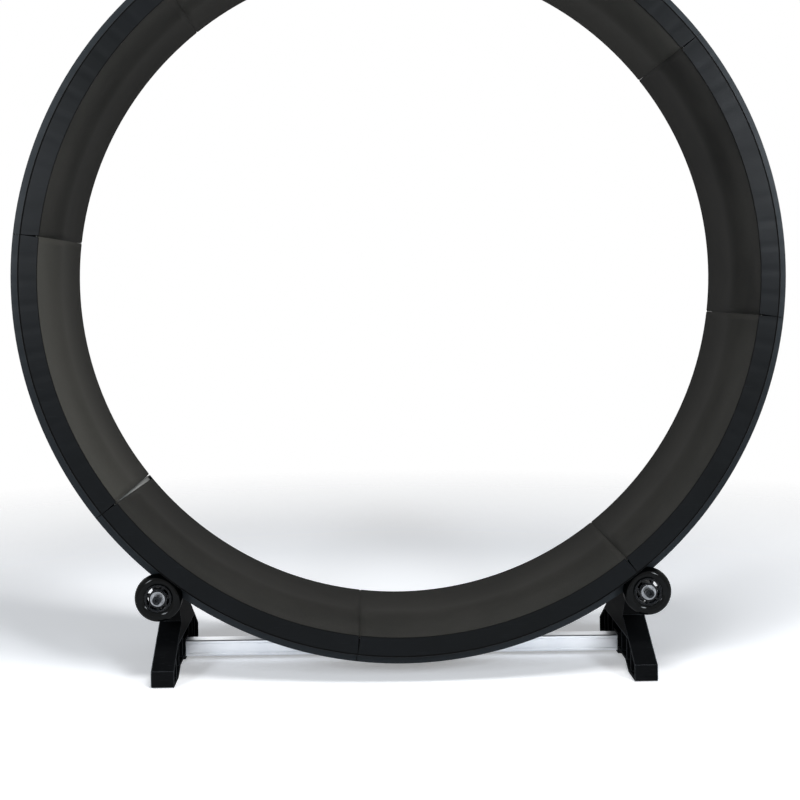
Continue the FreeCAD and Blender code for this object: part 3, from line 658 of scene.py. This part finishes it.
class FitTyres(bpy.types.Operator):
    """Cast a round-shouldered tyre on each roller"""

    bl_idname = "cat_wheel.fit_tyres"
    bl_label = "Fit Tyres"

    def execute(self, context):
        settings = context.scene.wheel_rollers
        material = cast_tyre()
        for corner in CORNERS:
            node = "roller_tyre_" + corner
            centre = Vector(JOINTS["roller_spin_" + corner]["pos_m"])
            low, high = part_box(node)
            half_width = (high.y - low.y) / 2
            tread = (high.z - low.z) / 2
            core_low, core_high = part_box("roller_core_" + corner)
            bore = (core_high.z - core_low.z) / 2
            seat = self.seat_half_width(node, centre, bore)
            widest = bore + (tread - bore) * settings.widest_share
            section = self.side(half_width, tread, bore, seat, widest, settings.fullness)
            bm = bmesh.new()
            lathe(bm, centre, section, settings.steps)
            tyre = new_piece("cast_tyre_" + corner, bm, [material])
            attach(tyre, "roller_" + corner)
            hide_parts(node)
        return {"FINISHED"}

    def seat_half_width(self, node, centre, bore):
        """Half width of the tyre where it sits on its core."""
        points = [vertex.co - centre for vertex in frame["nodes"][node].data.vertices]
        return max(p.y for p in points if math.hypot(p.x, p.z) < bore + NEAR)

    def side(self, half_width, tread, bore, seat, widest, fullness):
        """Section of the tyre from the front of its seat over the tread to the back."""
        wall_points, crown_points = 6, 12
        half = []
        for i in range(wall_points):
            share = i / wall_points
            bulge = seat + (half_width - seat) * math.sin(share * math.pi / 2)
            half.append((bulge, bore + (widest - bore) * share))
        for i in range(crown_points):
            turn = i / crown_points * math.pi / 2
            half.append((half_width * math.cos(turn) ** fullness, widest + (tread - widest) * math.sin(turn)))
        front = [(-across, radius) for across, radius in half]
        return front + [(0.0, tread)] + half[::-1]


class DressRollers(bpy.types.Operator):
    """Give cores, bearings, bolts, nuts and rings their finishes"""

    bl_idname = "cat_wheel.dress_rollers"
    bl_label = "Dress Rollers"

    def execute(self, context):
        cover(["roller_core_" + corner for corner in CORNERS], gloss_core(context.scene.wheel_finish))
        bearing = turned_steel("bearing_ground_steel", "#9a9c9f", "#7b7d80", 0.22, 0.3)
        cover(["bearing_races_" + corner for corner in CORNERS] + ["bearing_cones"], bearing)
        cover(["axle_bolts"], blackened_steel())
        zinc = turned_steel("fastener_zinc_plate", "#c4c6c4", "#8f918e", 0.34, 0.6)
        cover(["axle_nuts", "axle_washers", "axle_spacers", "bar_screws"], zinc)
        return {"FINISHED"}


class DressBase(bpy.types.Operator):
    """Give the stands, the cross bar and the foot pads their finishes"""

    bl_idname = "cat_wheel.dress_base"
    bl_label = "Dress Base"

    def execute(self, context):
        cover(["left_stand", "right_stand"], stand_moulding())
        cover(["cross_bar"], anodised_bar())
        cover(["foot_pad_" + corner for corner in CORNERS], foot_rubber())
        return {"FINISHED"}


def straight_ray(tree):
    """1 for a ray from the camera, a reflection or a clear surface, else 0."""
    straight = [add(tree, "LightPath", output=kind) for kind in STRAIGHT_RAYS]
    either = add(tree, "Math", straight[:2], operation="MAXIMUM")
    return add(tree, "Math", (either, straight[2]), operation="MAXIMUM")


def white_world(settings):
    """White where the camera or a reflection looks past everything, a softer sky as a light."""
    world = bpy.data.worlds.new("studio_white")
    bpy.context.scene.world = world
    world.use_nodes = True
    tree = world.node_tree
    sky = tree.nodes["Background"]
    plug(tree, sky, (srgb(SKY_COLOUR), settings.sky_strength))
    seen = add(tree, "Background", (srgb("#ffffff"), 1.0))
    mixed = add(tree, "MixShader", (straight_ray(tree), sky.outputs["Background"], seen))
    plug(tree, tree.nodes["World Output"], {"Surface": mixed})


def floor_finish(settings):
    """Matte white paper sweep, which shows whiter than it lights and fades into the white around it."""
    material, tree, shader, place = new_material("studio_floor_paper")
    away = add(tree, "VectorMath", (place,), "Value", operation="LENGTH")
    solid = add(tree, "MapRange", (away, settings.floor_solid, settings.floor_radius, 1.0, 0.0))
    plug(tree, shader, {"Base Color": srgb(FLOOR_COLOUR), "Roughness": 0.9, "Specular IOR Level": 0.0})
    glow = add(tree, "Math", (straight_ray(tree), settings.floor_glow), operation="MULTIPLY")
    glowing = add(tree, "Emission", (srgb("#ffffff"), glow))
    lifted = add(tree, "AddShader", (shader.outputs["BSDF"], glowing))
    faded = add(tree, "MixShader", (solid, add(tree, "BsdfTransparent"), lifted))
    plug(tree, tree.nodes["Material Output"], {"Surface": faded})
    return material


def soft_light(name, place, width, height, watts, colour):
    """Softbox that faces the middle of the wheel."""
    light = bpy.data.lights.new(name, "AREA")
    light.shape = "RECTANGLE"
    light.size = width
    light.size_y = height
    light.energy = watts
    light.color = srgb(colour)[:3]
    lamp = bpy.data.objects.new(name, light)
    bpy.context.scene.collection.objects.link(lamp)
    lamp.location = place
    lamp.rotation_euler = (AXIS - Vector(place)).to_track_quat("-Z", "Y").to_euler()


class SetStage(bpy.types.Operator):
    """Place the floor, the lights and the camera"""

    bl_idname = "cat_wheel.set_stage"
    bl_label = "Set Stage"

    def execute(self, context):
        settings = context.scene.wheel_stage
        context.scene.view_settings.view_transform = "Standard"
        white_world(settings)
        bm = bmesh.new()
        bmesh.ops.create_circle(bm, cap_ends=True, radius=settings.floor_radius, segments=96)
        floor = new_piece("floor", bm, [floor_finish(settings)])
        for side, (place, width, height, colour) in SOFTBOXES.items():
            watts = getattr(settings, side + "_watts")
            soft_light(side + "_softbox", place, width, height, watts, colour)
        self.place_camera(context.scene, settings)
        return {"FINISHED"}

    def place_camera(self, scene, settings):
        """Camera level along +Y, shifted so that the pixel straight ahead is the photograph's."""
        data = bpy.data.cameras.new("camera")
        camera = bpy.data.objects.new("camera", data)
        scene.collection.objects.link(camera)
        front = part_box(SEGMENTS[0])[0].y
        camera.location = (settings.camera_x, front - settings.camera_distance, settings.camera_height)
        camera.rotation_euler = (math.radians(90), settings.roll, 0)
        data.lens = settings.focal_px / settings.frame_px * data.sensor_width
        data.shift_x = 0.5 - settings.vanishing_x / settings.frame_px
        data.shift_y = settings.vanishing_y / settings.frame_px - 0.5
        scene.camera = camera


class WheelPanel(bpy.types.Panel):
    """Sidebar panel with the pieces and their settings"""

    bl_label = "Cat Exercise Wheel"
    bl_idname = "VIEW3D_PT_cat_wheel"
    bl_space_type = "VIEW_3D"
    bl_region_type = "UI"
    bl_category = "Wheel"

    def draw(self, context):
        for group in GROUPS:
            box = self.layout.box()
            settings = getattr(context.scene, group)
            for name in settings.bl_rna.properties.keys():
                if name not in ("name", "rna_type"):
                    box.prop(settings, name)
        for operator in OPERATORS:
            self.layout.operator(operator.bl_idname)


GROUPS = {
    "wheel_finish": WheelProperties,
    "wheel_mats": MatProperties,
    "wheel_rollers": RollerProperties,
    "wheel_stage": StageProperties,
}
OPERATORS = (DressWheel, LayMats, FitTyres, DressRollers, DressBase, SetStage)


def register():
    """Add the settings, the operators and the panel."""
    for name, group in GROUPS.items():
        bpy.utils.register_class(group)
        setattr(bpy.types.Scene, name, PointerProperty(type=group))
    for shown in OPERATORS + (WheelPanel,):
        bpy.utils.register_class(shown)


def unregister():
    """Take out what register added."""
    for shown in reversed(OPERATORS + (WheelPanel,)):
        bpy.utils.unregister_class(shown)
    for name, group in GROUPS.items():
        delattr(bpy.types.Scene, name)
        bpy.utils.unregister_class(group)


def main():
    """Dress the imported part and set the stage."""
    register()
    bpy.ops.cat_wheel.dress_wheel()
    bpy.ops.cat_wheel.lay_mats()
    bpy.ops.cat_wheel.fit_tyres()
    bpy.ops.cat_wheel.dress_rollers()
    bpy.ops.cat_wheel.dress_base()
    bpy.ops.cat_wheel.set_stage()


if __name__ == "__main__":
    main()
